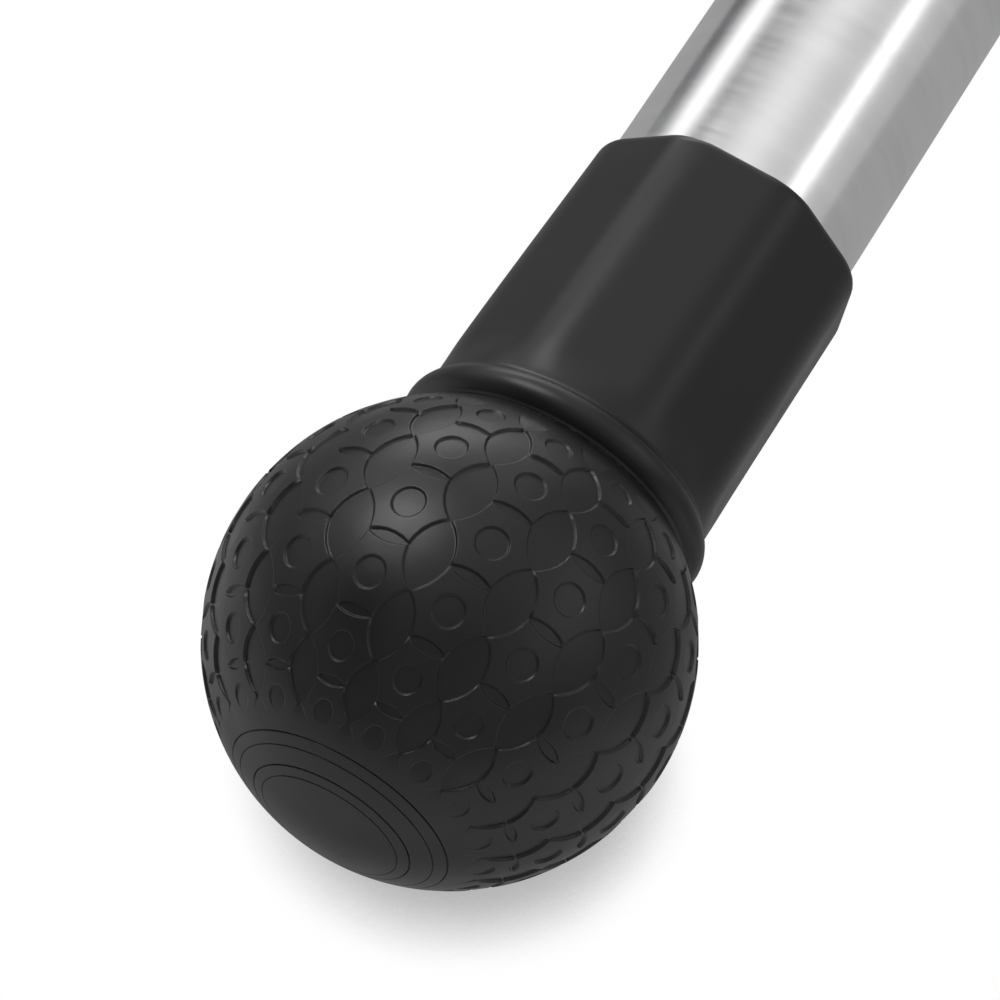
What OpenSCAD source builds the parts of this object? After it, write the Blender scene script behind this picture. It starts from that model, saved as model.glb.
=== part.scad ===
// Ladder stabilizer: a wide U of round tube that clamps to both side rails of a
// ladder and meets the wall or roof on two ball-shaped rubber feet.
// X runs along the crossbar, the arms point to -Y, Z is up along the
// ladder's rails. Everything stands on the plane Z = 0. All lengths in millimetres.

/* [Overall] */
// Distance between the centres of the two ball feet
span = 1100; // [1060:10:1300]
// Distance from the crossbar's axis to a ball's centre
reach = 330; // [260:5:420]
// Height of the crossbar's axis over the ground
bar_h = 44; // [43.5:0.5:48]

/* [Tubes] */
// Outer diameter of each bent arm
tube_d = 32; // [30:1:34]
// Wall of each bent arm
tube_wall = 1.6; // [1.4:0.1:1.8]
// Centre-line radius of the bend in each arm
bend_r = 95; // [80:5:110]
// Wall of the crossbar
bar_wall = 2.2; // [1.6:0.1:3]
// Half the length of the crossbar
bar_half = 400; // [380:5:410]
// Distance from the middle plane to the inner end of each arm
arm_in = 256; // [254:1:262]

/* [Ball foot] */
// Diameter of the rubber ball
ball_d = 56; // [52:1:60]
// Distance from the ball's centre to the end of its sleeve
sleeve_len = 64.5; // [55:0.5:80]
// Width across the flats of the eight-sided sleeve
sleeve_flats = 35; // [34.6:0.1:37]
// Turn of the sleeve's flats about the tube
sleeve_roll = 9; // [0:0.5:45]

/* [Rail clamp] */
// Distance from the middle plane to the centre of each clamp
clamp_x = 195; // [180:1:196]
// Width of a clamp along the crossbar
clamp_w = 76; // [72:1:80]
// Depth of the ladder rail that the U-bolts are set to
rail_depth = 80; // [70:1:95]
// Distance from a clamp's centre to a U-bolt leg
leg_x = 24.5; // [23:0.5:26]
// Height of a U-bolt over or under the crossbar's axis
leg_z = 26; // [25.5:0.5:28]

/* [Lock knob] */
// Diameter of the star knob
knob_d = 44; // [36:1:48]
// Number of grips on the star knob
knob_lobes = 5; // [4:1:7]

/* [Hidden] */
$fn = 64;
eps = 0.5;                                  // overlap of cutters
ball_r = ball_d / 2;
tube_r = tube_d / 2;
tube_ri = tube_r - tube_wall;
slide_gap = 0.2;                            // arm over crossbar
groove_w = 7.2;                             // guides the pressure tip, stops the arm turning
groove_depth = 0.8;
groove_in = 236;
run_gap = 0.05;                             // running fits
bar_r = tube_ri - slide_gap;
bar_ri = bar_r - bar_wall;
arm_x = span / 2;
tilt = asin((bar_h - ball_r) / reach);      // slope that lands the balls on the ground

clamp_h = 2 * bar_h;                        // the clamps stand on the ground too
flange_t = 12;
seam = 1.5;                                 // half the gap between the two saddles
flange_y = seam + flange_t;
barrel_r = 21;
liner_t = 2.45;
liner_ri = bar_r + run_gap;
liner_ro = liner_ri + liner_t;
saddle_ri = liner_ro + run_gap;
lip_t = 2;
lip_r = 19;
flange_corner = 8;
seat_w = 38;
seat_y = 26;
seat_corner = 3;
pad_t = 4;
pad_y = seat_y + pad_t;

rod_r = 4;
nut_gap = 0.05;
rod_hole_r = 4.4;
corner_r = 12;
crown_y = pad_y + rail_depth + rod_r;
washer_t = 1.6;
washer_r = 8;
nut_y = flange_y + washer_t;
nut_r = 7.2;
nut_h = 9.9;
leg_spare = 13;
leg_end = nut_y + nut_h + leg_spare;
guard_r = 6.2;

collar_r = 22;
collar_len = 38;
collar_x = arm_in - 4;                      // the collar's lip covers the arm's end
knob_x = collar_x + 20;
screw_x = knob_x + 11;                      // screws that hold the collar
screw_r = 1.5;
screw_head = 2.4;
screw_head_r = 3.2;
screw_proud = 0.2;
boss_r = 11;
boss_top = 34;
insert_lo = 24;
insert_hi = 31;
insert_flats = 13;
tip_lo = bar_r - groove_depth + run_gap;
tip_h = 3.8;
tip_r = 3.4;
knob_lo = 36;
knob_hub = 5;
knob_t = 13;

core_head_r = 18;
core_head = 4;                              // half the thickness of the core's head
core_spigot = 34;
bead_r = 20.4;
bead_s = 24.2;
bead_t = 2.3;
sleeve_corner = 18.3;

back_y = crown_y + guard_r;
front_y = reach * cos(tilt) + ball_r;
bar_y = (front_y - back_y) / 2;             // centres the whole part on Y

// ---------- helpers ----------

// Puts children, drawn for the right side round the crossbar's axis, in place.
module on_bar(side) {
    translate([0, bar_y, bar_h]) mirror([side < 0 ? 1 : 0, 0, 0]) children();
}

// As on_bar, with the slope of the arms.
module on_arm(side) {
    on_bar(side) rotate([tilt, 0, 0]) children();
}

// A tube along +X from x0 to x1.
module tube_x(x0, x1, ro, ri) {
    translate([x0, 0, 0]) rotate([0, 90, 0]) difference() {
        cylinder(r = ro, h = x1 - x0);
        translate([0, 0, -eps]) cylinder(r = ri, h = x1 - x0 + 2 * eps);
    }
}

// A rod along +X from x0 to x1.
module rod_x(x0, x1, r) {
    translate([x0, 0, 0]) rotate([0, 90, 0]) cylinder(r = r, h = x1 - x0);
}

// A rod along +Y from y0 to y1.
module rod_y(y0, y1, r) {
    translate([0, y0, 0]) rotate([-90, 0, 0]) cylinder(r = r, h = y1 - y0);
}

// A quarter torus that turns a run along +X into one along -Y.
module elbow(radius, r) {
    rotate_extrude(angle = 90) translate([radius, 0]) circle(r = r);
}

// A plate in XZ with round corners, from y0 to y1.
module plate(w, h, y0, y1, r) {
    for (sx = [-1, 1], sz = [-1, 1])
        translate([sx * (w / 2 - r), 0, sz * (h / 2 - r)]) rod_y(y0, y1, r);
    translate([-w / 2 + r, y0, -h / 2]) cube([w - 2 * r, y1 - y0, h]);
    translate([-w / 2, y0, -h / 2 + r]) cube([w, y1 - y0, h - 2 * r]);
}

// Children at the four U-bolt legs of a clamp.
module at_legs() {
    for (sx = [-1, 1], sz = [-1, 1]) translate([sx * leg_x, 0, sz * leg_z]) children();
}

// ---------- tube frame ----------

// Inner tube, with a shallow groove under each lock screw.
module crossbar() {
    color("silver") difference() {
        translate([0, bar_y, bar_h]) tube_x(-bar_half, bar_half, bar_r, bar_ri);
        for (side = [-1, 1]) on_arm(side) translate([groove_in, -groove_w / 2, bar_r - groove_depth])
            cube([bar_half - groove_in + eps, groove_w, groove_depth + eps]);
    }
}

// Plastic plug that guides the crossbar's end inside the arm.
module bar_glide(side) {
    plug = 15;
    head = 3;
    vent_r = 4;
    color("dimgray") on_bar(side) difference() {
        union() {
            rod_x(bar_half - plug, bar_half, bar_ri);
            rod_x(bar_half, bar_half + head, tube_ri - run_gap);
        }
        rod_x(bar_half - plug - eps, bar_half + head + eps, vent_r);
    }
}

// Solid outline of a bent arm at radius r.
module arm_outline(r, grow) {
    rod_x(arm_in - grow, arm_x - bend_r, r);
    translate([arm_x - bend_r, -bend_r, 0]) elbow(bend_r, r);
    translate([arm_x, 0, 0]) rod_y(-reach + core_head - grow, -bend_r, r);
}

// Bent tube that carries a ball foot and slides over the crossbar.
module arm(side) {
    color("silver") on_arm(side) difference() {
        arm_outline(tube_r, 0);
        arm_outline(tube_ri, eps);
        translate([knob_x, 0, 0]) cylinder(r = rod_hole_r, h = tube_d);
        collar_screw_pair();
    }
}

// ---------- telescoping lock ----------

// Children at the two screws that hold a collar to its arm, drawn up +Z from the tube's axis.
module at_collar_screws() {
    for (turn = [90, -90]) translate([screw_x, 0, 0]) rotate([turn, 0, 0]) children();
}

// Outline of the two screws, which is also the shape of their holes.
module collar_screw_pair() {
    at_collar_screws() {
        translate([0, 0, tube_ri]) cylinder(r = screw_r, h = collar_r - tube_ri - 1);
        translate([0, 0, collar_r - screw_head]) cylinder(r = screw_head_r, h = screw_head + screw_proud);
    }
}

module collar_screws(side) {
    slot_w = 0.8;
    slot_depth = 0.9;
    slot_len = 4.4;
    color("lightgray") on_arm(side) difference() {
        collar_screw_pair();
        at_collar_screws() translate([-slot_len / 2, -slot_w / 2, collar_r + screw_proud - slot_depth])
            cube([slot_len, slot_w, slot_depth + eps]);
    }
}

// Moulded collar on the arm's inner end, with a boss for the lock screw.
module arm_collar(side) {
    wall_r = collar_r - 2;
    collar_end = collar_x + collar_len;
    web_len = 32;
    web_t = 4;
    screw_boss_r = 5;
    color("dimgray") on_arm(side) difference() {
        union() {
            rod_x(collar_x, collar_end, wall_r);
            rod_x(collar_x + 3, collar_x + 9, collar_r);
            rod_x(collar_end - 6, collar_end - 1, collar_r - 1);
            translate([knob_x, 0, 0]) cylinder(r = boss_r, h = boss_top);
            translate([screw_x, 0, 0]) rod_y(-collar_r, collar_r, screw_boss_r);
            translate([knob_x - web_len / 2, -web_t / 2, 0]) cube([web_len, web_t, boss_top - 9]);
        }
        rod_x(arm_in, collar_end + eps, tube_r);
        rod_x(collar_x - eps, arm_in + eps, bar_r + 2 * run_gap);
        translate([knob_x, 0, 0]) cylinder(r = rod_hole_r, h = boss_top + eps);
        translate([knob_x, 0, insert_lo])
            cylinder(r = insert_flats / 2 / cos(30), h = insert_hi - insert_lo, $fn = 6);
        collar_screw_pair();
    }
}

// Hexagonal threaded insert, moulded into the boss.
module collar_insert(side) {
    color("goldenrod") on_arm(side) translate([knob_x, 0, insert_lo]) difference() {
        cylinder(r = insert_flats / 2 / cos(30), h = insert_hi - insert_lo, $fn = 6);
        translate([0, 0, -eps]) cylinder(r = rod_r + nut_gap, h = insert_hi - insert_lo + 2 * eps);
    }
}

// Pad that the lock screw presses on the crossbar without turning on it.
module pressure_tip(side) {
    color("goldenrod") on_arm(side) translate([knob_x, 0, tip_lo]) cylinder(r = tip_r, h = tip_h);
}

// Threaded rod that the knob turns.
module knob_screw(side) {
    color("lightgray") on_arm(side) translate([knob_x, 0, tip_lo + tip_h])
        cylinder(r = rod_r, h = knob_lo + knob_hub + knob_t / 2 - tip_lo - tip_h);
}

module star_knob(side) {
    grip_r = 8.5;
    grip_out = 3;                           // how far the grips' axes lie outside the knob
    neck_r = 10;
    dish_r = 9;
    dish_depth = 1.5;
    color("dimgray") on_arm(side) translate([knob_x, 0, knob_lo]) difference() {
        union() {
            cylinder(r = neck_r, h = knob_hub + 1);
            translate([0, 0, knob_hub]) cylinder(r = knob_d / 2, h = knob_t);
        }
        for (k = [0 : knob_lobes - 1]) rotate(k * 360 / knob_lobes)
            translate([knob_d / 2 + grip_out, 0, knob_hub - eps]) cylinder(r = grip_r, h = knob_t + 2 * eps);
        translate([0, 0, -eps]) cylinder(r = rod_r, h = knob_hub + knob_t / 2 + eps);
        translate([0, 0, knob_hub + knob_t - dish_depth]) cylinder(r = dish_r, h = dish_depth + eps);
    }
}

// ---------- ball foot ----------

// Children drawn round +Z from the ball's centre up the tube, in place.
module on_foot(side) {
    on_arm(side) translate([arm_x, -reach, 0]) rotate([-90, 0, 0]) children();
}

// Ball, bead and eight-sided sleeve in one rubber moulding.
module ball_foot(side) {
    color("black") on_foot(side) difference() {
        union() {
            sphere(r = ball_r, $fn = 96);
            rotate_extrude() {
                translate([bead_r - bead_t, bead_s]) circle(r = bead_t);
                translate([0, bead_s - bead_t]) square([bead_r - bead_t, 2 * bead_t]);
            }
            intersection() {
                cylinder(r = sleeve_corner, h = sleeve_len);
                rotate(sleeve_roll + 22.5)
                    cylinder(r = sleeve_flats / 2 / cos(22.5), h = sleeve_len, $fn = 8);
            }
        }
        translate([0, 0, core_head]) cylinder(r = tube_r, h = sleeve_len);
        translate([0, 0, -core_head]) cylinder(r = core_head_r, h = 2 * core_head);
    }
}

// Hard plug that closes the tube and keeps its edge from cutting the rubber.
module foot_core(side) {
    grip_w = 3;
    grip_depth = 1;
    hollow_r = 8;
    color("gray") on_foot(side) difference() {
        union() {
            translate([0, 0, -core_head]) cylinder(r = core_head_r, h = 2 * core_head);
            cylinder(r = tube_ri, h = core_spigot);
        }
        for (s = [12 : 8 : 28]) translate([0, 0, s]) rotate_extrude()
            translate([tube_ri - grip_depth, 0]) square([grip_depth + eps, grip_w]);
        translate([0, 0, core_head]) cylinder(r = hollow_r, h = core_spigot);
    }
}

// ---------- rail clamp ----------

module on_clamp(side) {
    on_bar(side) translate([clamp_x, 0, 0]) children();
}

// Split sleeve between the crossbar and the saddles, with a lip at each end.
module bar_liner(side) {
    half = clamp_w / 2 + run_gap;
    color("gray") on_clamp(side) difference() {
        union() {
            rod_x(-half, half, liner_ro);
            rod_x(half, half + lip_t, lip_r);
            rod_x(-half - lip_t, -half, lip_r);
        }
        rod_x(-half - lip_t - eps, half + lip_t + eps, liner_ri);
        translate([-half - lip_t - eps, -1, 0]) cube([2 * (half + lip_t + eps), 2, lip_r + eps]);
    }
}

// Cap on the wall side of the crossbar, which the wing nuts press on.
module saddle_outer(side) {
    rib_t = 4;
    rib_h = 5;
    rib_x = 6;
    color("slategray") on_clamp(side) difference() {
        union() {
            plate(clamp_w, clamp_h, -flange_y, -seam, flange_corner);
            intersection() {
                rod_x(-clamp_w / 2, clamp_w / 2, barrel_r);
                translate([-clamp_w, -barrel_r, -barrel_r])
                    cube([2 * clamp_w, barrel_r - seam, 2 * barrel_r]);
            }
            for (x = [-rib_x, rib_x])
                translate([x - rib_t / 2, -flange_y - rib_h, -clamp_h / 2 + flange_corner])
                    cube([rib_t, rib_h + eps, clamp_h - 2 * flange_corner]);
        }
        rod_x(-clamp_w, clamp_w, saddle_ri);
        at_legs() rod_y(-flange_y - eps, 0, rod_hole_r);
    }
}

// Cap on the ladder side, with a flat seat for the rail pad.
module saddle_inner(side) {
    color("slategray") on_clamp(side) difference() {
        union() {
            plate(clamp_w, clamp_h, seam, flange_y, flange_corner);
            intersection() {
                rod_x(-clamp_w / 2, clamp_w / 2, barrel_r);
                translate([-clamp_w, seam, -barrel_r]) cube([2 * clamp_w, barrel_r - seam, 2 * barrel_r]);
            }
            plate(seat_w, clamp_h, seam, seat_y, seat_corner);
        }
        rod_x(-clamp_w, clamp_w, saddle_ri);
        at_legs() rod_y(0, flange_y + eps, rod_hole_r);
    }
}

// Ribbed rubber pad that meets the ladder's rail.
module rail_pad(side) {
    groove = 2;
    groove_sink = 1;
    color("black") on_clamp(side) difference() {
        plate(seat_w - 2, clamp_h - 4, seat_y, pad_y, seat_corner);
        for (z = [-30 : 12 : 30]) translate([-seat_w / 2, pad_y - groove_sink, z - groove / 2])
            cube([seat_w, groove_sink + eps, groove]);
    }
}

// Flat washers under the wing nuts.
module washers(side) {
    color("lightgray") on_clamp(side) at_legs() difference() {
        rod_y(-nut_y, -flange_y, washer_r);
        rod_y(-nut_y - eps, -flange_y + eps, rod_hole_r);
    }
}

// Children drawn round the level of a U-bolt: level is 1 for the upper one, -1 for the lower.
module on_ubolt(side, level) {
    on_clamp(side) translate([0, 0, level * leg_z]) children();
}

// Square U-bolt round the ladder's rail.
module ubolt(side, level) {
    color("silver") on_ubolt(side, level) {
        for (sx = [-1, 1]) mirror([sx < 0 ? 1 : 0, 0, 0]) {
            translate([leg_x, 0, 0]) rod_y(-leg_end, crown_y - corner_r, rod_r);
            translate([leg_x - corner_r, crown_y - corner_r, 0]) elbow(corner_r, rod_r);
        }
        translate([0, crown_y, 0]) rod_x(-leg_x + corner_r, leg_x - corner_r, rod_r);
    }
}

// Soft sleeve on the U-bolt's crown, which touches the front of the rail.
module crown_guard(side, level) {
    half = leg_x - corner_r - eps;
    color("black") on_ubolt(side, level) translate([0, crown_y, 0])
        tube_x(-half, half, guard_r, rod_r);
}

// Outline of one wing: a round lobe on a web that meets it along its tangents.
module wing_outline() {
    lobe = [12.2, 11.4];
    lobe_r = 4.6;
    polygon([
        [4, 1],
        [nut_r - 0.4, 1],
        lobe + lobe_r * [cos(-35), sin(-35)],
        lobe + lobe_r * [cos(125), sin(125)],
        [4, nut_h - 0.9]
    ]);
    translate(lobe) circle(r = lobe_r);
}

// Wing nut; leg is -1 for the leg nearer the middle of the part.
module wing_nut(side, level, leg) {
    top_r = 5.6;
    wing_t = 3;
    color("lightgray") on_ubolt(side, level) translate([leg * leg_x, -nut_y, 0])
        rotate([90, 0, 0]) difference() {
            union() {
                cylinder(r1 = nut_r, r2 = top_r, h = nut_h);
                for (turn = [0, 180]) rotate([90, 0, turn])
                    translate([0, 0, -wing_t / 2]) linear_extrude(wing_t) wing_outline();
            }
            translate([0, 0, -eps]) cylinder(r = rod_r + nut_gap, h = 2 * nut_h);
        }
}

// ---------- the parts ----------

crossbar();
bar_glide(-1);  // bar_glide_left
bar_glide(1);  // bar_glide_right
arm(-1);  // arm_left
arm(1);  // arm_right
arm_collar(-1);  // arm_collar_left
arm_collar(1);  // arm_collar_right
collar_insert(-1);  // collar_insert_left
collar_insert(1);  // collar_insert_right
collar_screws(-1);  // collar_screws_left
collar_screws(1);  // collar_screws_right
pressure_tip(-1);  // pressure_tip_left
pressure_tip(1);  // pressure_tip_right
knob_screw(-1);  // knob_screw_left
knob_screw(1);  // knob_screw_right
star_knob(-1);  // star_knob_left
star_knob(1);  // star_knob_right
ball_foot(-1);  // ball_foot_left
ball_foot(1);  // ball_foot_right
foot_core(-1);  // foot_core_left
foot_core(1);  // foot_core_right
bar_liner(-1);  // bar_liner_left
bar_liner(1);  // bar_liner_right
saddle_outer(-1);  // saddle_outer_left
saddle_outer(1);  // saddle_outer_right
saddle_inner(-1);  // saddle_inner_left
saddle_inner(1);  // saddle_inner_right
rail_pad(-1);  // rail_pad_left
rail_pad(1);  // rail_pad_right
washers(-1);  // washers_left
washers(1);  // washers_right
ubolt(-1, 1);  // ubolt_upper_left
ubolt(-1, -1);  // ubolt_lower_left
ubolt(1, 1);  // ubolt_upper_right
ubolt(1, -1);  // ubolt_lower_right
crown_guard(-1, 1);  // crown_guard_upper_left
crown_guard(-1, -1);  // crown_guard_lower_left
crown_guard(1, 1);  // crown_guard_upper_right
crown_guard(1, -1);  // crown_guard_lower_right
wing_nut(-1, 1, 1);  // wing_nut_upper_outer_left
wing_nut(-1, 1, -1);  // wing_nut_upper_inner_left
wing_nut(-1, -1, 1);  // wing_nut_lower_outer_left
wing_nut(-1, -1, -1);  // wing_nut_lower_inner_left
wing_nut(1, 1, 1);  // wing_nut_upper_outer_right
wing_nut(1, 1, -1);  // wing_nut_upper_inner_right
wing_nut(1, -1, 1);  // wing_nut_lower_outer_right
wing_nut(1, -1, -1);  // wing_nut_lower_inner_right
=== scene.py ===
"""Looks of the ladder stabilizer: every visible surface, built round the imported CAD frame."""
import math

import bmesh
import bpy
from mathutils import Matrix, Vector


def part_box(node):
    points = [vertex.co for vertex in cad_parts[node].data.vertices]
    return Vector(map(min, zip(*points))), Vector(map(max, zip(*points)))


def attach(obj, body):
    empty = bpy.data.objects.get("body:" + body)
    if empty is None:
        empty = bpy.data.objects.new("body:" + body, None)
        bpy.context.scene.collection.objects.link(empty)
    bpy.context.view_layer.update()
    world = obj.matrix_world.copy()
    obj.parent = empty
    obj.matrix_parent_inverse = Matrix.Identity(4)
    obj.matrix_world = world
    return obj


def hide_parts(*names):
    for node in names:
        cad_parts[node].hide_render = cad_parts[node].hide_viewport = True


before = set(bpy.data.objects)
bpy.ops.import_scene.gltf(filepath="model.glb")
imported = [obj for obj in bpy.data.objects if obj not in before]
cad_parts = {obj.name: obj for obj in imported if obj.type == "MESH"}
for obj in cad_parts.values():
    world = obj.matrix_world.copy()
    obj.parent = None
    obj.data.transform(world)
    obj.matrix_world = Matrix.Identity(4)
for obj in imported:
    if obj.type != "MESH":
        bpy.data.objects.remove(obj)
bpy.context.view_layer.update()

MM = 0.001
SIDES = (("left", -1), ("right", 1))
LEVELS = ("upper", "lower")
LEGS = ("outer", "inner")

bar_low, bar_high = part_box("crossbar")
bar_axis = (bar_low + bar_high) / 2

TUBE_R = 16 * MM
TUBE_WALL = 1.6 * MM
TUBE_END = 4 * MM                           # from the ball's centre, up the tube


# ---------- frames ----------

def foot_matrix(side, sign):
    """A ball foot's frame, with +Z up the tube and +X away from the middle, and its radius."""
    low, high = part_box("ball_foot_" + side)
    radius = (high.x - low.x) / 2
    centre = Vector(((low.x + high.x) / 2, low.y + radius, low.z + radius))
    z = Vector((0, bar_axis.y - centre.y, bar_axis.z - centre.z)).normalized()
    x = Vector((sign, 0, 0))
    y = Vector((0, z.z, -z.y))
    turn = Matrix((x, y, z)).transposed().to_4x4()
    return Matrix.Translation(centre) @ turn, radius


FOOT, BALL_R = {}, 0
for side, sign in SIDES:
    FOOT[side], BALL_R = foot_matrix(side, sign)
foot_centre = FOOT["right"].translation
slope = math.atan2(bar_axis.z - foot_centre.z, bar_axis.y - foot_centre.y)
reach = math.hypot(bar_axis.z - foot_centre.z, bar_axis.y - foot_centre.y)


def arm_matrix(sign):
    """Frame of an arm: origin on the crossbar's axis, +X outwards, -Y down the sloping arm."""
    turn = Matrix.Rotation(slope, 4, "X")
    flip = Matrix.Scale(sign, 4, (1, 0, 0))
    return Matrix.Translation((0, bar_axis.y, bar_axis.z)) @ flip @ turn


# ---------- mesh helpers ----------

def make_piece(name, points, faces, body, material, replaces):
    """A smooth mesh object that rides on a body and stands for the CAD nodes named."""
    mesh = bpy.data.meshes.new(name)
    mesh.from_pydata([tuple(p) for p in points], [], faces)
    tidy = bmesh.new()
    tidy.from_mesh(mesh)
    bmesh.ops.recalc_face_normals(tidy, faces=tidy.faces)
    tidy.to_mesh(mesh)
    tidy.free()
    return finish_piece(name, mesh, body, material, replaces)


def finish_piece(name, mesh, body, material, replaces):
    """As make_piece, for a mesh that exists already."""
    piece = bpy.data.objects.new(name, mesh)
    bpy.context.scene.collection.objects.link(piece)
    for polygon in mesh.polygons:
        polygon.use_smooth = True
    piece.data.materials.clear()
    piece.data.materials.append(material)
    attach(piece, body)
    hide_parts(*replaces)
    return piece


def grid_faces(rings, around, first=0):
    """Quads between rings of points that close on themselves."""
    faces = []
    for ring in range(rings - 1):
        a = first + ring * around
        b = a + around
        for k in range(around):
            n = (k + 1) % around
            faces.append((a + k, a + n, b + n, b + k))
    return faces


def evaluated_mesh(piece):
    """A piece's mesh with its modifiers applied."""
    bpy.context.view_layer.update()
    evaluated = piece.evaluated_get(bpy.context.evaluated_depsgraph_get())
    return bpy.data.meshes.new_from_object(evaluated)


SHARP_ANGLE = math.radians(28)              # edges sharper than this are rounded
FLAT_ANGLE = math.radians(0.6)              # facets flatter than this are joined


def softened(node, name, body, material, width, segments=3):
    """A copy of a CAD node with its edges rounded, which stands for that node."""
    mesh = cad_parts[node].data.copy()
    mesh.name = name
    work = bmesh.new()
    work.from_mesh(mesh)
    bmesh.ops.remove_doubles(work, verts=work.verts, dist=0.002 * MM)
    bmesh.ops.dissolve_limit(work, angle_limit=FLAT_ANGLE, verts=work.verts, edges=work.edges)
    work.to_mesh(mesh)
    work.free()
    if mesh.attributes.get("custom_normal"):
        mesh.attributes.remove(mesh.attributes["custom_normal"])
    piece = finish_piece(name, mesh, body, material, (node,))
    bevel = piece.modifiers.new("round_edges", "BEVEL")
    bevel.width = width
    bevel.segments = segments
    bevel.limit_method = "ANGLE"
    bevel.angle_limit = SHARP_ANGLE
    bevel.use_clamp_overlap = True
    bevel.harden_normals = False
    shade = piece.modifiers.new("even_normals", "WEIGHTED_NORMAL")
    shade.keep_sharp = True
    final = evaluated_mesh(piece)
    piece.modifiers.clear()
    piece.data = final


# ---------- materials ----------

def new_material(name, colour, rough, metallic=0.0):
    """A Principled material, with its node tree and shader."""
    material = bpy.data.materials.new(name)
    material.use_nodes = True
    shader = material.node_tree.nodes["Principled BSDF"]
    shader.inputs["Base Color"].default_value = (*colour, 1)
    shader.inputs["Roughness"].default_value = rough
    shader.inputs["Metallic"].default_value = metallic
    return material, material.node_tree, shader


def add(tree, kind, **values):
    """A new node, with each value set on the input or the property of that name."""
    node = tree.nodes.new(kind)
    for key, value in values.items():
        if key in node.inputs:
            node.inputs[key].default_value = value
        else:
            setattr(node, key, value)
    return node


def combined(tree, operation, first, second):
    """Two outputs joined by a Math node."""
    node = add(tree, "ShaderNodeMath", operation=operation)
    tree.links.new(first, node.inputs[0])
    tree.links.new(second, node.inputs[1])
    return node.outputs[0]


def coordinates(tree, scale=(1, 1, 1), attribute=None):
    """Object coordinates, or a stored vector, scaled."""
    if attribute:
        source = add(tree, "ShaderNodeAttribute", attribute_name=attribute).outputs["Vector"]
    else:
        source = add(tree, "ShaderNodeTexCoord").outputs["Object"]
    stretch = add(tree, "ShaderNodeVectorMath", operation="MULTIPLY")
    tree.links.new(source, stretch.inputs[0])
    stretch.inputs[1].default_value = scale
    return stretch.outputs[0]


def noise(tree, vector, scale, detail, rough):
    node = add(tree, "ShaderNodeTexNoise", Scale=scale, Detail=detail, Roughness=rough)
    tree.links.new(vector, node.inputs["Vector"])
    return node.outputs["Fac"]


def ranged(tree, value, low, high, from_low=0.3, from_high=0.7):
    """Maps a value: from_low gives low, from_high gives high, and it stays between them."""
    node = add(tree, "ShaderNodeMapRange")
    node.inputs["From Min"].default_value = from_low
    node.inputs["From Max"].default_value = from_high
    node.inputs["To Min"].default_value = low
    node.inputs["To Max"].default_value = high
    tree.links.new(value, node.inputs["Value"])
    return node.outputs["Result"]


def mixed(tree, factor, first, second):
    """A colour between two, by a factor."""
    node = add(tree, "ShaderNodeMix", data_type="RGBA")
    node.inputs[6].default_value = (*first, 1)
    node.inputs[7].default_value = (*second, 1)
    tree.links.new(factor, node.inputs[0])
    return node.outputs[2]


def bumped(tree, shader, height, distance, strength):
    node = add(tree, "ShaderNodeBump", Distance=distance, Strength=strength)
    tree.links.new(height, node.inputs["Height"])
    tree.links.new(node.outputs[0], shader.inputs["Normal"])


def rubber(name, dark, light, rough, grain=0.02 * MM, specular=0.4):
    """Satin moulded rubber: near black, with faint bloom and a fine skin."""
    material, tree, shader = new_material(name, dark, rough)
    shader.inputs["Specular IOR Level"].default_value = specular
    place = coordinates(tree)
    bloom = noise(tree, place, 45, 5, 0.6)
    colour = mixed(tree, ranged(tree, bloom, 0, 1), dark, light)
    tree.links.new(colour, shader.inputs["Base Color"])
    patches = noise(tree, place, 130, 3, 0.5)
    tree.links.new(ranged(tree, patches, rough - 0.03, rough + 0.04), shader.inputs["Roughness"])
    skin = noise(tree, place, 2600, 2, 0.5)
    bumped(tree, shader, skin, grain, 0.5)
    return material


def brushed_tube(name, colour, attribute=None):
    """Aluminium tube linished round its axis: fine marks that follow the circumference."""
    material, tree, shader = new_material(name, colour, 0.2, 1.0)
    marks = noise(tree, coordinates(tree, (900, 14, 14), attribute), 1.0, 4, 0.6)
    streaks = noise(tree, coordinates(tree, (230, 28, 28), attribute), 1.0, 3, 0.6)
    clouds = noise(tree, coordinates(tree, (30, 30, 30), attribute), 1.0, 2, 0.5)
    streaked, clouded = ranged(tree, streaks, 0.0, 1.0), ranged(tree, clouds, 0.3, 1.0)
    tone = combined(tree, "MULTIPLY", streaked, clouded)
    dark = tuple(c * 0.84 for c in colour)
    tree.links.new(mixed(tree, tone, colour, dark), shader.inputs["Base Color"])
    tree.links.new(ranged(tree, marks, 0.15, 0.21), shader.inputs["Roughness"])
    bumped(tree, shader, marks, 0.004 * MM, 0.5)
    return material


def metal(name, colour, rough, scale, depth, tint=0.85):
    """Cast, plated or machined metal with a grain of the given scale and depth."""
    material, tree, shader = new_material(name, colour, rough, 1.0)
    place = coordinates(tree)
    tone = noise(tree, place, scale * 0.12, 4, 0.6)
    tinted = tuple(c * tint for c in colour)
    stained = mixed(tree, ranged(tree, tone, 0, 1), colour, tinted)
    tree.links.new(stained, shader.inputs["Base Color"])
    grain = noise(tree, place, scale, 3, 0.55)
    tree.links.new(ranged(tree, grain, rough - 0.06, rough + 0.08), shader.inputs["Roughness"])
    bumped(tree, shader, grain, depth, 0.6)
    return material


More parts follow.
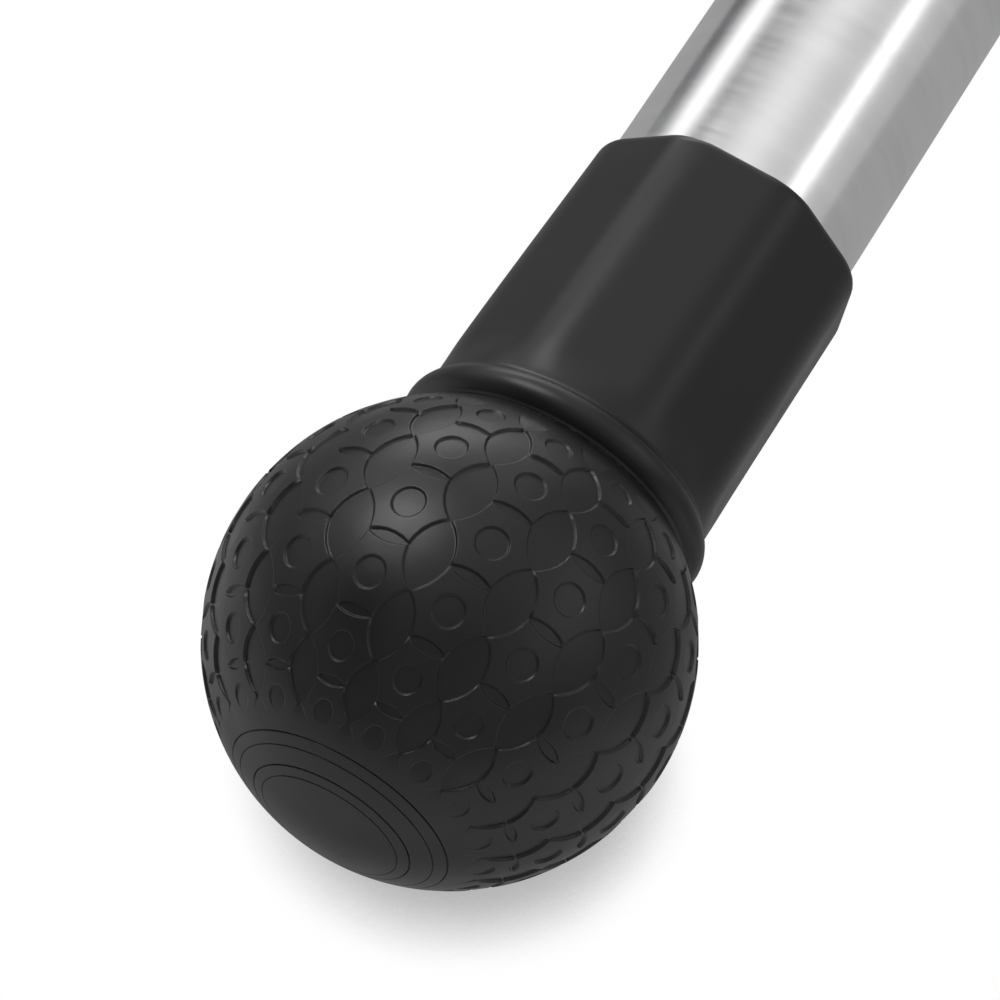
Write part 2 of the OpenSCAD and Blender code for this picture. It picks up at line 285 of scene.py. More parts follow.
def plastic(name, colour, rough, scale=1500, depth=0.03 * MM):
    """Moulded plastic with a spark-eroded texture."""
    material, tree, shader = new_material(name, colour, rough)
    place = coordinates(tree)
    tone = noise(tree, place, 60, 3, 0.5)
    light = tuple(min(1, c * 1.35 + 0.004) for c in colour)
    mottled = mixed(tree, ranged(tree, tone, 0, 1), colour, light)
    tree.links.new(mottled, shader.inputs["Base Color"])
    grain = noise(tree, place, scale, 2, 0.5)
    tree.links.new(ranged(tree, grain, rough - 0.05, rough + 0.07), shader.inputs["Roughness"])
    bumped(tree, shader, grain, depth, 0.7)
    return material


FOOT_RUBBER = rubber(
    "foot_rubber", (0.0045, 0.0045, 0.0047), (0.007, 0.007, 0.0072), 0.37, specular=0.43
)
PAD_RUBBER = rubber(
    "pad_rubber", (0.016, 0.016, 0.017), (0.026, 0.026, 0.027), 0.62, grain=0.05 * MM
)
ARM_METAL = brushed_tube("arm_metal", (0.90, 0.90, 0.905), attribute="tube_place")
BAR_METAL = brushed_tube("bar_metal", (0.86, 0.86, 0.87))
CAST_METAL = metal("cast_metal", (0.52, 0.53, 0.55), 0.42, 700, 0.06 * MM)
PLATED_METAL = metal("plated_metal", (0.66, 0.67, 0.69), 0.29, 220, 0.004 * MM, 0.92)
BRASS_METAL = metal("brass_metal", (0.72, 0.50, 0.22), 0.28, 600, 0.01 * MM)
BLACK_PLASTIC = plastic("black_plastic", (0.018, 0.018, 0.020), 0.42)
NYLON = plastic("liner_nylon", (0.30, 0.31, 0.32), 0.38, 900, 0.01 * MM)
CORE_NYLON = plastic("core_nylon", (0.20, 0.21, 0.22), 0.45, 900, 0.01 * MM)


# ---------- ball foot ----------

COLUMNS = 17
CELL_W = 360 / COLUMNS                      # degrees, between neighbouring hexagons in a row
CELL_H = CELL_W * math.cos(math.radians(30))
SIDE_BOW = 0.115 * CELL_W / 2               # how far a hexagon's side bows into it
SIDE_STEPS = 5
FIRST_COLUMN = -76.1                        # degrees, from the foot's +X
ROW_GAP = 18.6                              # degrees of latitude between rows, at the equator
MIDDLE_ROW, MIDDLE_LAT = 2, -1.6
ROW_PARTS = 100                             # steps of the row-to-latitude table in a row
STEP_H = 0.32 * MM                          # from a hexagon's face down to discs and lenses
DIMPLE_H = 0.27 * MM
DIMPLE_R = 3.85                             # degrees
HEXAGON_WALL = (                            # (degrees in from its outline, share of STEP_H)
    (0.08, 0.90),
    (0.31, 0.10),
    (0.42, 0.0),
    (0.62, 0.0),
)
DIMPLE_WALL = (                             # (degrees out from DIMPLE_R, share of DIMPLE_H)
    (0.42, 0.0),
    (0.25, 0.0),
    (0.14, 0.12),
    (-0.14, 0.88),
    (-0.25, 1.0),
    (-0.42, 1.0),
)
DISC_CROWN = 0.06                           # of STEP_H
FADE_TOP = (36.8, 40.5)                     # latitudes between which the relief fades to nothing
FADE_TIP = (-48, -56.5)
NECK_LAT = 49.2                             # where the ball meets the bead's fillet
TIP_LAT = -59.6                             # where the relief's skin and the tip's cap lap


def row_latitudes(first, last):
    """Latitude against row number: rows lie closer together towards the poles."""
    middle = MIDDLE_ROW * ROW_PARTS
    table = {middle: MIDDLE_LAT}
    for direction, end in ((-1, first), (1, last)):
        lat = MIDDLE_LAT
        for row in range(middle + direction, end * ROW_PARTS + direction, direction):
            closer = math.sqrt(max(0.01, math.cos(math.radians(lat))))
            lat -= direction / ROW_PARTS * ROW_GAP * closer
            table[row] = lat
    return table


LATITUDES = row_latitudes(-2, 7)


def latitude(row):
    """Latitude of a row number, whole or not."""
    low = math.floor(row * ROW_PARTS)
    low = max(min(LATITUDES), min(max(LATITUDES) - 1, low))
    t = row * ROW_PARTS - low
    return LATITUDES[low] * (1 - t) + LATITUDES[low + 1] * t


def smooth_step(low, high, value):
    t = max(0, min(1, (value - low) / (high - low)))
    return t * t * (3 - 2 * t)


def on_sphere(r, lat, lon):
    """A point in the foot's frame from a radius and two angles, in radians."""
    flat = r * math.cos(lat)
    return Vector((flat * math.cos(lon), flat * math.sin(lon), r * math.sin(lat)))


def on_ball(x, y, column, row, height):
    """A point of a cell: x and y in degrees from the cell's centre, y towards the sleeve."""
    lat = latitude(row - y / CELL_H)
    lon = math.radians(FIRST_COLUMN + column * CELL_W + x)
    fade = 1 - smooth_step(*FADE_TOP, lat)
    fade *= 1 - smooth_step(-FADE_TIP[0], -FADE_TIP[1], -lat)
    return on_sphere(BALL_R + height * fade, math.radians(lat), lon)


def bowed(start, end, bow):
    """Points from start up to, not including, end, on a line that bows to its left."""
    start, end = Vector(start), Vector(end)
    left = Vector((start.y - end.y, end.x - start.x)).normalized()
    points = []
    for k in range(SIDE_STEPS):
        t = k / SIDE_STEPS
        points.append(start.lerp(end, t) + left * (4 * bow * t * (1 - t)))
    return points


def outline(corners, bow):
    """A closed outline through the corners, counter-clockwise, with bowed sides."""
    points = []
    for k, corner in enumerate(corners):
        points += bowed(corner, corners[(k + 1) % len(corners)], bow)
    return points


def inset(points, distance):
    """The closed outline, counter-clockwise, moved inwards."""
    moved = []
    count = len(points)
    for k, point in enumerate(points):
        a = (point - points[k - 1]).normalized()
        b = (points[(k + 1) % count] - point).normalized()
        n1, n2 = Vector((-a.y, a.x)), Vector((-b.y, b.x))
        moved.append(point + (n1 + n2) * (distance / max(0.3, 1 + n1.dot(n2))))
    return moved


HEXAGON = outline(
    [
        (CELL_W / 2, 0),
        (CELL_W / 4, CELL_H / 2),
        (-CELL_W / 4, CELL_H / 2),
        (-CELL_W / 2, 0),
        (-CELL_W / 4, -CELL_H / 2),
        (CELL_W / 4, -CELL_H / 2),
    ],
    SIDE_BOW,
)
DISC = outline(
    [(CELL_W / 4, 0), (0, CELL_H / 2), (-CELL_W / 4, 0), (0, -CELL_H / 2)], -SIDE_BOW
)
LENS = outline([(CELL_W / 4, 0), (-CELL_W / 4, 0)], -SIDE_BOW)


def hexagon_rings():
    """(points, height) from the hexagon's outline to the middle of its dimple."""
    rings = [(HEXAGON, -STEP_H)]
    for distance, share in HEXAGON_WALL:
        rings.append((inset(HEXAGON, distance), -STEP_H * share))
    edge = rings[-1][0]
    rings.append(([p.lerp(p.normalized() * DIMPLE_R, 0.55) for p in edge], 0))
    for distance, share in DIMPLE_WALL:
        rings.append(([p.normalized() * (DIMPLE_R + distance) for p in edge], -DIMPLE_H * share))
    rings.append(([p.normalized() * DIMPLE_R * 0.45 for p in edge], -DIMPLE_H))
    return rings


def disc_rings():
    """As hexagon_rings, for the low and slightly crowned field between four hexagons."""
    rings = []
    for share in (1.0, 0.95, 0.75, 0.35):
        crown = DISC_CROWN * (1 - share * share)
        rings.append(([p * share for p in DISC], -STEP_H * (1 - crown)))
    return rings


def lens_rings():
    """As hexagon_rings, for the low sliver between two hexagons of one column."""
    return [([p * share for p in LENS], -STEP_H) for share in (1.0, 0.86, 0.4)]


def add_cell(points, faces, rings, centre_height, column, row):
    """Lays a cell's rings on the ball and closes its middle."""
    first = len(points)
    around = len(rings[0][0])
    for ring, height in rings:
        points += [on_ball(p.x, p.y, column, row, height) for p in ring]
    faces += grid_faces(len(rings), around, first)
    last = first + (len(rings) - 1) * around
    centre = len(points)
    points.append(on_ball(0, 0, column, row, centre_height))
    faces += [(last + k, last + (k + 1) % around, centre) for k in range(around)]


def relief_points():
    """The ball's patterned skin: rows of hexagons, with discs and lenses between them."""
    points, faces = [], []
    for column in range(COLUMNS):
        for row in range(-1, 7):
            add_cell(points, faces, hexagon_rings(), -DIMPLE_H, column, row)
            add_cell(points, faces, lens_rings(), -STEP_H, column, row + 0.5)
            disc_middle = -STEP_H * (1 - DISC_CROWN)
            add_cell(points, faces, disc_rings(), disc_middle, column + 0.5, row + 0.5)
    return points, faces


# The sleeve's sizes are in ball radii, heights from the ball's centre.
SECTOR = math.radians(22.5)                 # half a side of the octagon
CORNER_R = 0.28
AROUND = 192                                # points round the sleeve and the tip
SLEEVE_ROLL = math.radians(31.6)            # a corner of the sleeve, from the foot's +X
SLEEVE_BASE, SLEEVE_END = 1.13, 64.5 * MM / BALL_R
FLAT_BASE, FLAT_END = 0.634, 0.620          # half the width across flats
SLEEVE_SAG = Vector((0.70 * MM, 0.24 * MM, 0))   # the way that the sleeve leans off the tube's axis
SAG_REACH, SAG_GAIN = 1.3, 1.25             # it still grows at the sleeve's end
NECK_FILLET = ((0.766, 0.6545), (0.774, 0.6620))   # (height, radius)
CREST_S, CREST_MID_R, CREST_R = 0.840, 0.623, 0.080   # the bead's height, ring and section
CREST_START, CREST_STEP = -36, 9.2          # degrees round the bead's section
END_ROUND = 0.05


def octagon(angle, flat):
    """Distance from the axis to a rounded octagon, at an angle from one of its corners."""
    off = abs((angle + SECTOR) % (2 * SECTOR) - SECTOR)
    from_flat = SECTOR - off
    if flat * math.tan(from_flat) <= (flat - CORNER_R) * math.tan(SECTOR):
        return flat / math.cos(from_flat)
    far = (flat - CORNER_R) / math.cos(SECTOR)
    return far * math.cos(off) + math.sqrt(CORNER_R**2 - (far * math.sin(off)) ** 2)


def sleeve_profile():
    """(height, round radius, share of octagon, half width across flats), from the neck up."""
    neck = math.radians(NECK_LAT)
    rows = [(math.sin(neck), math.cos(neck), 0, 0)]
    rows += [(s, r, 0, 0) for s, r in NECK_FILLET]
    for k in range(12):
        turn = math.radians(CREST_START + CREST_STEP * k)
        s = CREST_S + CREST_R * math.sin(turn)
        rows.append((s, CREST_MID_R + CREST_R * math.cos(turn), 0, 0))
    start_s, start_r = rows[-1][:2]
    for k in range(1, 11):
        t = k / 10
        s = start_s + (SLEEVE_BASE - start_s) * t
        r = FLAT_BASE * 1.02 + (start_r - FLAT_BASE * 1.02) * (1 - t) ** 2
        flat = FLAT_BASE + (start_r - FLAT_BASE) * (1 - t) ** 2
        rows.append((s, r, smooth_step(0, 1, t), flat))
    straight = SLEEVE_END - END_ROUND
    for k in range(1, 7):
        t = k / 6
        s = SLEEVE_BASE + (straight - SLEEVE_BASE) * t
        rows.append((s, 0, 1, FLAT_BASE + (FLAT_END - FLAT_BASE) * t))
    for k in range(1, 7):
        turn = math.radians(15 * k)
        flat = FLAT_END - END_ROUND * (1 - math.cos(turn)) * 0.6
        rows.append((straight + END_ROUND * math.sin(turn), 0, 1, flat))
    return rows


def circle(r, height, count):
    """A ring of points round the foot's Z."""
    turns = [2 * math.pi * k / count for k in range(count)]
    return [Vector((r * math.cos(turn), r * math.sin(turn), height)) for turn in turns]


def sleeve_points():
    """Neck, bead, sleeve and the socket that holds the tube."""
    rings = []
    for s, r, share, flat in sleeve_profile():
        sag = SLEEVE_SAG * SAG_GAIN * smooth_step(CREST_S, SLEEVE_END * SAG_REACH, s)
        ring = []
        for k in range(AROUND):
            angle = 2 * math.pi * k / AROUND
            radius = r * (1 - share) + (share and share * octagon(angle - SLEEVE_ROLL, flat))
            place = Vector((radius * math.cos(angle), radius * math.sin(angle), s))
            ring.append(place * BALL_R + sag)
        rings.append(ring)
    for height in (SLEEVE_END * BALL_R, TUBE_END):
        rings.append(circle(TUBE_R * 1.001, height, AROUND))
    points = [p for ring in rings for p in ring]
    faces = grid_faces(len(rings), AROUND)
    faces.append(tuple(range(len(points) - AROUND, len(points))))
    return points, faces


TIP_LINES = (                               # (degrees from the tip, width in degrees, depth in mm)
    (29.2, 0.24, 0.24),
    (25.9, 0.17, 0.15),
    (20.7, 0.26, 0.26),
    (17.8, 0.15, 0.13),
)
LINE_WALL = 0.07                            # degrees that the wall of a line takes up
TIP_OVERLAP = 0.4                           # degrees that cap and relief each reach past TIP_LAT


def tip_depth(angle):
    """How deep the tip's fine grooves are at an angle from the tip."""
    depth = 0
    for centre, width, sink in TIP_LINES:
        off = abs(angle - centre) - width / 2
        depth = max(depth, sink * MM * (1 - smooth_step(0, LINE_WALL, off)))
    return depth


def tip_points():
    """The smooth cap at the ball's tip, with its rings."""
    angles = {27.5, 23.3, 19.2, 15, 12, 9, 6, 3}
    for centre, width, _ in TIP_LINES:
        for walls in (3, 1, 0.5, 0):
            off = width / 2 + walls * LINE_WALL
            angles |= {centre - off, centre + off}
    rows = [90 + TIP_LAT + TIP_OVERLAP] + sorted(angles, reverse=True)
    points = []
    for angle in rows:
        r = BALL_R - tip_depth(angle)
        turn = math.radians(angle)
        points += circle(r * math.sin(turn), -r * math.cos(turn), AROUND)
    faces = grid_faces(len(rows), AROUND)
    last = len(points) - AROUND
    points.append(Vector((0, 0, -BALL_R)))
    faces += [(last + k, last + (k + 1) % AROUND, len(points) - 1) for k in range(AROUND)]
    return points, faces


def ball_mesh():
    """Ball, bead and sleeve in the foot's frame; the tip's cap laps the relief's plain rim."""
    work = bmesh.new()
    mesh = bpy.data.meshes.new("ball_skin")
    points, faces = relief_points()
    mesh.from_pydata(points, [], faces)
    work.from_mesh(mesh)
    bmesh.ops.remove_doubles(work, verts=work.verts, dist=0.004 * MM)
    top = BALL_R * math.sin(math.radians(NECK_LAT))
    tip = BALL_R * math.sin(math.radians(TIP_LAT - TIP_OVERLAP))
    for height, direction in ((top, 1), (tip, -1)):
        bmesh.ops.bisect_plane(
            work,
            geom=work.verts[:] + work.edges[:] + work.faces[:],
            dist=1e-7,
            plane_co=(0, 0, height),
            plane_no=(0, 0, direction),
            clear_outer=True,
        )
    for points, faces in (sleeve_points(), tip_points()):
        first = [work.verts.new(p) for p in points]
        for face in faces:
            work.faces.new([first[k] for k in face])
    work.edges.ensure_lookup_table()
    rim = [
        e for e in work.edges
        if e.is_boundary and all(abs(v.co.z - top) < 0.02 * MM for v in e.verts)
    ]
    bmesh.ops.bridge_loops(work, edges=rim)
    bmesh.ops.remove_doubles(work, verts=work.verts, dist=0.0005 * MM)
    bmesh.ops.recalc_face_normals(work, faces=work.faces)
    work.to_mesh(mesh)
    work.free()
    return mesh


skin = ball_mesh()
for side, sign in SIDES:
    mesh = skin.copy()
    mesh.transform(FOOT[side])
    if sign < 0:
        mesh.flip_normals()
    finish_piece("ball_foot_skin_" + side, mesh, side + "_arm", FOOT_RUBBER, ("ball_foot_" + side,))


# ---------- arms ----------

BEND_R = 95 * MM
BEND_STEPS = 48
LIP = 0.5 * MM                              # rounding of the arm's inner end


def arm_path():
    """(point, direction, distance along) down an arm's centre line, in the arm's frame."""
    low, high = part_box("arm_right")
    inner, outer = low.x, high.x - TUBE_R
    end = -reach + TUBE_END
    rows = [(Vector((inner, 0, 0)), Vector((1, 0, 0)), 0.0)]
    straight = outer - BEND_R - inner
    centre = Vector((outer - BEND_R, -BEND_R, 0))
    for k in range(BEND_STEPS + 1):
        turn = math.radians(90) * k / BEND_STEPS
        point = centre + Vector((math.sin(turn), math.cos(turn), 0)) * BEND_R
        ahead = Vector((math.cos(turn), -math.sin(turn), 0))
        rows.append((point, ahead, straight + BEND_R * turn))
    turned = rows[-1][2]
    for share in (0.25, 0.5, 0.75, 0.95, 0.995, 1.0):
        y = -BEND_R + (end + BEND_R) * share
        rows.append((Vector((outer, y, 0)), Vector((0, -1, 0)), turned - BEND_R - y))
    return rows


def arm_piece(side, sign):
    """Bent tube, open at both ends, with a rounded lip; its marks follow a stored vector."""
    rows = arm_path()
    place = arm_matrix(sign)
    up = Vector((0, 0, 1))
    around = 96
    start, ahead, _ = rows[0]
    profile = [(row, TUBE_R) for row in rows]
    profile[0] = ((start + ahead * LIP, ahead, LIP), TUBE_R)
    profile.insert(0, (rows[0], TUBE_R - LIP * 0.7))
    profile += [(row, TUBE_R - TUBE_WALL) for row in reversed(rows)]
    points, marks = [], []
    for (centre, ahead, along), r in profile:
        out = ahead.cross(up)
        for k in range(around):
            turn = 2 * math.pi * k / around
            ring = up * (math.cos(turn) * r) + out * (math.sin(turn) * r)
            points.append(place @ (centre + ring))
            marks.append((along, math.cos(turn) * r, math.sin(turn) * r))
    faces = grid_faces(len(profile), around)
    last = (len(profile) - 1) * around
    faces += [(last + k, last + (k + 1) % around, (k + 1) % around, k) for k in range(around)]
    node, body = "arm_" + side, side + "_arm"
    piece = make_piece("arm_tube_" + side, points, faces, body, ARM_METAL, (node,))
    stored = piece.data.attributes.new("tube_place", "FLOAT_VECTOR", "POINT")
    stored.data.foreach_set("vector", [value for mark in marks for value in mark])


for side, sign in SIDES:
    arm_piece(side, sign)


# ---------- plain CAD nodes that keep their shape ----------

def paint(node, material):
    """Gives a CAD node its material."""
    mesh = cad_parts[node].data
    mesh.materials.clear()
    mesh.materials.append(material)


paint("crossbar", BAR_METAL)
for side, _ in SIDES:
    paint("foot_core_" + side, CORE_NYLON)
    paint("collar_insert_" + side, BRASS_METAL)
    paint("pressure_tip_" + side, BRASS_METAL)


# ---------- U-bolts and wing nuts ----------

ROD_R = 4 * MM
CORNER = 12 * MM                            # bend of the rod's centre line, from leg to crown
CORNER_STEPS = 16
PITCH = 1.25 * MM
THREAD_LENGTH = 45 * MM
THREAD_DEPTH = 0.62 * MM
THREAD_GAP = 0.04 * MM                      # between the crests and the plain rod's surface
THREAD_STEPS = 8                            # rings to a turn of the thread
LEAD_DEPTH, LEAD_LENGTH = 0.7 * MM, 0.9 * MM   # the cone at a leg's end


def thread_r(along, turn):
    """Radius of the thread at a distance from the leg's end and an angle, in turns, round it."""
    wave = (along / PITCH - turn) % 1
    cut = max(0, min(1, 1.25 * abs(2 * wave - 1) - 0.1))
    ends = max(0, min(1, along / PITCH, (THREAD_LENGTH - along) / PITCH))
    lead = LEAD_DEPTH * max(0, 1 - along / LEAD_LENGTH)
    return ROD_R - THREAD_GAP - max(THREAD_DEPTH * cut * ends, lead)


def threaded_rod(level, side, body):
    """A U-bolt: plain crown and corners, with a thread cut on both legs."""
    node = f"ubolt_{level}_{side}"
    low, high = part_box(node)
    middle = (low + high) / 2
    half, crown = (high.x - low.x) / 2 - ROD_R, high.y - ROD_R
    rings = []
    count = round(THREAD_LENGTH / PITCH) * THREAD_STEPS
    for k in range(count + 1):
        along = THREAD_LENGTH * k / count
        rings.append((Vector((half, low.y + along, 0)), Vector((0, 1, 0)), along))
    corner = Vector((half - CORNER, crown - CORNER, 0))
    for k in range(CORNER_STEPS + 1):
        turn = math.radians(90) * k / CORNER_STEPS
        point = corner + Vector((math.cos(turn), math.sin(turn), 0)) * CORNER
        rings.append((point, Vector((-math.sin(turn), math.cos(turn), 0)), None))
    for point, ahead, along in rings[::-1]:
        rings.append((Vector((-point.x, point.y, 0)), Vector((ahead.x, -ahead.y, 0)), along))
    around = 28
    points = []
    for centre, ahead, along in rings:
        side_way = ahead.cross(Vector((0, 0, 1)))
        for k in range(around):
            turn = k / around
            r = ROD_R if along is None else thread_r(along, turn)
            angle = 2 * math.pi * turn
            offset = side_way * (math.cos(angle) * r) + Vector((0, 0, math.sin(angle) * r))
            points.append(centre + offset + Vector((middle.x, 0, middle.z)))
    faces = grid_faces(len(rings), around)
    faces.append(tuple(range(around)))
    faces.append(tuple(range(len(points) - around, len(points))))
    make_piece(f"rod_{level}_{side}", points, faces, body, PLATED_METAL, (node,))


NUT_PATTERN = "wing_nut_upper_outer_left"
NUT_VOXEL = 0.4 * MM
NUT_SMOOTHING = 7                           # passes


def cast_shape(node):
    """A CAD node's mesh with the soft edges and blended wings of a casting."""
    piece = bpy.data.objects.new("nut_blank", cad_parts[node].data.copy())
    bpy.context.scene.collection.objects.link(piece)
    skin_step = piece.modifiers.new("skin", "REMESH")
    skin_step.mode = "VOXEL"
    skin_step.voxel_size = NUT_VOXEL
    smooth_skin = piece.modifiers.new("soften", "SMOOTH")
    smooth_skin.factor = 0.5
    smooth_skin.iterations = NUT_SMOOTHING
    mesh = evaluated_mesh(piece)
    bpy.data.objects.remove(piece)
    return mesh


def cast_nut(level, leg, side):
    """A wing nut; all eight share the shape of the first."""
    name = f"{level}_{leg}_{side}"
    node = "wing_nut_" + name
    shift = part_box(node)[0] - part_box(NUT_PATTERN)[0]
    mesh = nut_shape.copy()
    mesh.transform(Matrix.Translation(shift))
    finish_piece("wings_" + name, mesh, f"{side}_{level}_{leg}_nut", PLATED_METAL, (node,))


nut_shape = cast_shape(NUT_PATTERN)


# ---------- moulded and cast pieces with rounded edges ----------

MOULDED = (                                 # (CAD node, piece, body, material, rounding in mm, steps)
    ("arm_collar", "collar_moulding", "arm", BLACK_PLASTIC, 0.7, 3),
    ("collar_screws", "collar_screw_heads", "arm", PLATED_METAL, 0.25, 3),
    ("star_knob", "knob_grip", "knob", BLACK_PLASTIC, 1.6, 4),
    ("knob_screw", "lock_screw", "knob", PLATED_METAL, 0.4, 3),
    ("bar_liner", "liner_sleeve", "liner", NYLON, 0.5, 3),
    ("saddle_outer", "saddle_cap", "clamp", CAST_METAL, 1.0, 3),
    ("saddle_inner", "saddle_seat", "clamp", CAST_METAL, 1.0, 3),
    ("rail_pad", "rib_pad", "clamp", PAD_RUBBER, 0.4, 3),
    ("washers", "washer_set", "clamp", PLATED_METAL, 0.25, 3),
)

for side, _ in SIDES:
    softened("bar_glide_" + side, "glide_plug_" + side, "frame", BLACK_PLASTIC, 0.5 * MM)
    for node, piece, body, material, width, steps in MOULDED:
        name = f"{piece}_{side}"
        softened(f"{node}_{side}", name, f"{side}_{body}", material, width * MM, steps)
    for level in LEVELS:
        name, ubolt = f"{level}_{side}", f"{side}_{level}_ubolt"
        threaded_rod(level, side, ubolt)
        softened("crown_guard_" + name, "guard_" + name, ubolt, PAD_RUBBER, 0.6 * MM)
        for leg in LEGS:
            cast_nut(level, leg, side)


# ---------- stage ----------

FLOOR_HALF = 12.0                           # half the floor's width, in metres
PAINTED_SHADOW_REACH = 0.55 * BALL_R                     # how far the floor's occlusion test reaches, for the shadow painted into its glow
PAINTED_SHADOW_AIM = (-0.04, -0.20, 0.95)            # the way the occlusion test leans, which sets where the floor's painted shadow falls
PAINTED_SHADOW_RANGE = (0.45, 1.0, 0.46, 0.76)       # from the floor's openness to its brightness: depth and edge of the painted shadow
FLOOR_GREY = 0.36                           # the floor as the object mirrors it
FLOOR_FRONT = 0.34                          # painted light: how much lighter the floor looks to the object in front of the feet, away from them


def make_floor():
    """White glowing floor with a painted shadow where something stands on it, and grey to the object
    that mirrors it, with painted light in front of the feet.
    """
    mesh = bpy.data.meshes.new("floor")
    corners = [(x * FLOOR_HALF, y * FLOOR_HALF, 0) for x, y in ((-1, -1), (1, -1), (1, 1), (-1, 1))]
    mesh.from_pydata(corners, [], [(0, 1, 2, 3)])
    floor = bpy.data.objects.new("floor", mesh)
    bpy.context.scene.collection.objects.link(floor)
    material = bpy.data.materials.new("floor_white")
    material.use_nodes = True
    tree = material.node_tree
    tree.nodes.clear()
    # painted shadow: ambient occlusion dims the floor's glow under and round the feet
    near = add(tree, "ShaderNodeAmbientOcclusion", Distance=PAINTED_SHADOW_REACH, samples=16)
    aim = add(tree, "ShaderNodeVectorMath", operation="NORMALIZE")
    aim.inputs[0].default_value = PAINTED_SHADOW_AIM
    tree.links.new(aim.outputs[0], near.inputs["Normal"])
    place = coordinates(tree)
    folded = add(tree, "ShaderNodeVectorMath", operation="ABSOLUTE")
    tree.links.new(place, folded.inputs[0])
    away = add(tree, "ShaderNodeVectorMath", operation="DISTANCE")
    tree.links.new(folded.outputs[0], away.inputs[0])
    away.inputs[1].default_value = (abs(foot_centre.x), abs(foot_centre.y), 0)
    row = add(tree, "ShaderNodeSeparateXYZ")
    tree.links.new(place, row.inputs[0])
    # painted light and shade in what the object mirrors: grey next to the feet, lighter in front of
    # them
    clear = ranged(
        tree, away.outputs["Value"], 0.0, FLOOR_FRONT, 1.65 * BALL_R, 2.3 * BALL_R
    )
    in_front = ranged(
        tree, row.outputs["Y"], 1.0, 0.0, foot_centre.y, foot_centre.y + 1.5 * BALL_R
    )
    lit = add(tree, "ShaderNodeMath", operation="MULTIPLY_ADD")
    tree.links.new(clear, lit.inputs[0])
    tree.links.new(in_front, lit.inputs[1])
    lit.inputs[2].default_value = FLOOR_GREY
    seen = add(tree, "ShaderNodeLightPath")
    level = add(tree, "ShaderNodeMix", data_type="FLOAT")
    tree.links.new(lit.outputs[0], level.inputs[2])
    tree.links.new(seen.outputs["Is Camera Ray"], level.inputs[0])
    # what the camera sees: the white glow, dimmed by the painted shadow
    tree.links.new(ranged(tree, near.outputs["AO"], *PAINTED_SHADOW_RANGE), level.inputs[3])
    glow = add(tree, "ShaderNodeEmission")
    tree.links.new(level.outputs[0], glow.inputs["Strength"])
    output = add(tree, "ShaderNodeOutputMaterial")
    tree.links.new(glow.outputs[0], output.inputs[0])
    mesh.materials.append(material)


STUDIO = (                                  # (degrees from overhead, to either side; brightness)
    (-90, 0.30),
    (-82, 0.30),
    (-74, 0.62),
    (-67, 1.20),
    (-58, 1.20),
    (-51, 0.52),
    (-44, 0.22),
    (-30, 0.22),
    (-16, 0.66),
    (-3, 0.87),
    (8, 0.87),
    (24, 0.68),
    (36, 0.62),
    (44, 0.66),
    (48, 1.40),
    (58, 1.40),
    (64, 0.66),
    (72, 0.54),
    (90, 0.50),
)
STUDIO_HALF = 90                            # degrees
FRONT_RANGE = (0.45, 1.0, -0.4, 0.35)       # the studio is darker in front of the feet, by Y
BACK_RANGE = (4.5, 0.40, -0.5, 0.1)         # its far end is bright on the left, by X
BACK_START = (0.0, 1.0, 0.58, 0.85)         # where that far end starts, by Y
KEY_DIRECTION = Vector((-0.500, 0.215, 0.840)).normalized()
KEY_LEVEL = 6.5
KEY_EDGES = [math.cos(math.radians(angle)) for angle in (15, 11)]


def studio_ramp(tree, turn):
    """The studio's brightness at an angle from overhead."""
    ramp = add(tree, "ShaderNodeValToRGB")
    stops = ramp.color_ramp.elements
    for angle, _ in STUDIO[1:-1]:
        stops.new((angle + STUDIO_HALF) / (2 * STUDIO_HALF))
    for stop, (angle, level) in zip(stops, STUDIO):
        stop.position = (angle + STUDIO_HALF) / (2 * STUDIO_HALF)
        stop.color = (level, level, level, 1)
    half = math.radians(STUDIO_HALF)
    tree.links.new(ranged(tree, turn, 0.0, 1.0, -half, half), ramp.inputs[0])
    return ramp.outputs[0]


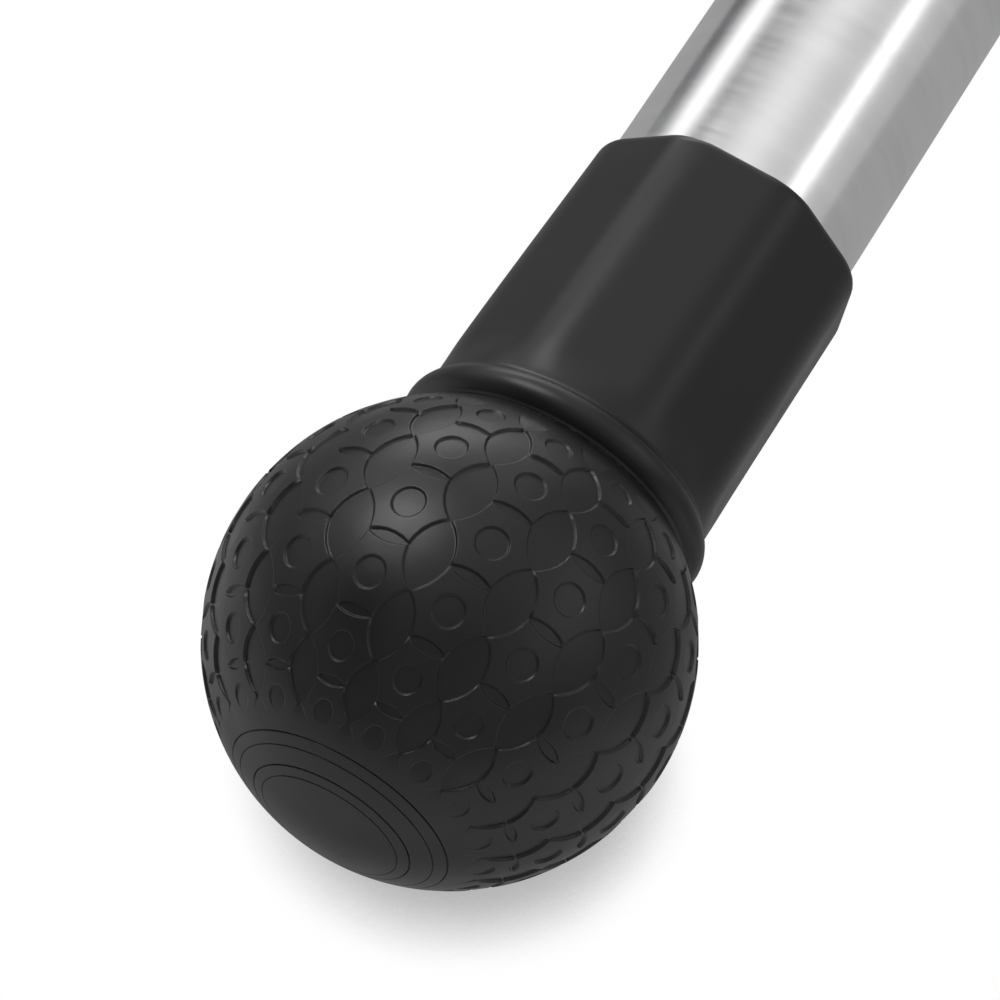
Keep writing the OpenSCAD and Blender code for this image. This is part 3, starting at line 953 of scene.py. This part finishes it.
def make_world():
    """White to the camera. To all else a grey studio: two strips, a soft top and a round key."""
    world = bpy.data.worlds.new("studio")
    bpy.context.scene.world = world
    world.use_nodes = True
    tree = world.node_tree
    tree.nodes.clear()
    aim = add(tree, "ShaderNodeTexCoord").outputs["Generated"]
    split = add(tree, "ShaderNodeSeparateXYZ")
    tree.links.new(aim, split.inputs[0])
    turn = combined(tree, "ARCTAN2", split.outputs["X"], split.outputs["Z"])
    strips = studio_ramp(tree, turn)
    back = add(tree, "ShaderNodeMix", data_type="FLOAT")
    back.inputs[2].default_value = 1.0
    tree.links.new(ranged(tree, split.outputs["Y"], *BACK_START), back.inputs[0])
    tree.links.new(ranged(tree, split.outputs["X"], *BACK_RANGE), back.inputs[3])
    front = ranged(tree, split.outputs["Y"], *FRONT_RANGE)
    depth = combined(tree, "MULTIPLY", front, back.outputs[0])
    room = combined(tree, "MULTIPLY", strips, depth)
    toward = add(tree, "ShaderNodeVectorMath", operation="DOT_PRODUCT")
    toward.inputs[1].default_value = KEY_DIRECTION
    tree.links.new(aim, toward.inputs[0])
    key = ranged(tree, toward.outputs["Value"], 0.0, KEY_LEVEL, *KEY_EDGES)
    lit = combined(tree, "ADD", room, key)
    seen = add(tree, "ShaderNodeLightPath")
    level = add(tree, "ShaderNodeMix", data_type="FLOAT")
    level.inputs[3].default_value = 1.0
    tree.links.new(seen.outputs["Is Camera Ray"], level.inputs[0])
    tree.links.new(lit, level.inputs[2])
    sky = add(tree, "ShaderNodeBackground", Color=(1, 1, 1, 1))
    tree.links.new(level.outputs[0], sky.inputs["Strength"])
    output = add(tree, "ShaderNodeOutputWorld")
    tree.links.new(sky.outputs[0], output.inputs[0])


make_floor()
make_world()


# ---------- camera ----------

AZIMUTH, ELEVATION = math.radians(29.40), math.radians(55.01)
DISTANCE = 16.0                             # along the lens's axis, in ball radii
ASIDE, BELOW = 0.2008, 0.5675               # ball's centre from the lens's axis, in ball radii
LENS, SENSOR = 143.4, 36                    # in mm


def make_camera():
    """Looks down on the right foot from in front."""
    data = bpy.data.cameras.new("camera")
    data.sensor_width = SENSOR
    data.lens = LENS
    data.clip_start = 0.01
    camera = bpy.data.objects.new("camera", data)
    bpy.context.scene.collection.objects.link(camera)
    z = Vector((
        math.sin(AZIMUTH) * math.cos(ELEVATION),
        -math.cos(AZIMUTH) * math.cos(ELEVATION),
        math.sin(ELEVATION),
    ))
    x = Vector((math.cos(AZIMUTH), math.sin(AZIMUTH), 0))
    y = z.cross(x)
    place = foot_centre + (x * ASIDE + y * BELOW + z * DISTANCE) * BALL_R
    camera.matrix_world = Matrix.Translation(place) @ Matrix((x, y, z)).transposed().to_4x4()
    bpy.context.scene.camera = camera


make_camera()
bpy.context.scene.view_settings.view_transform = "Standard"
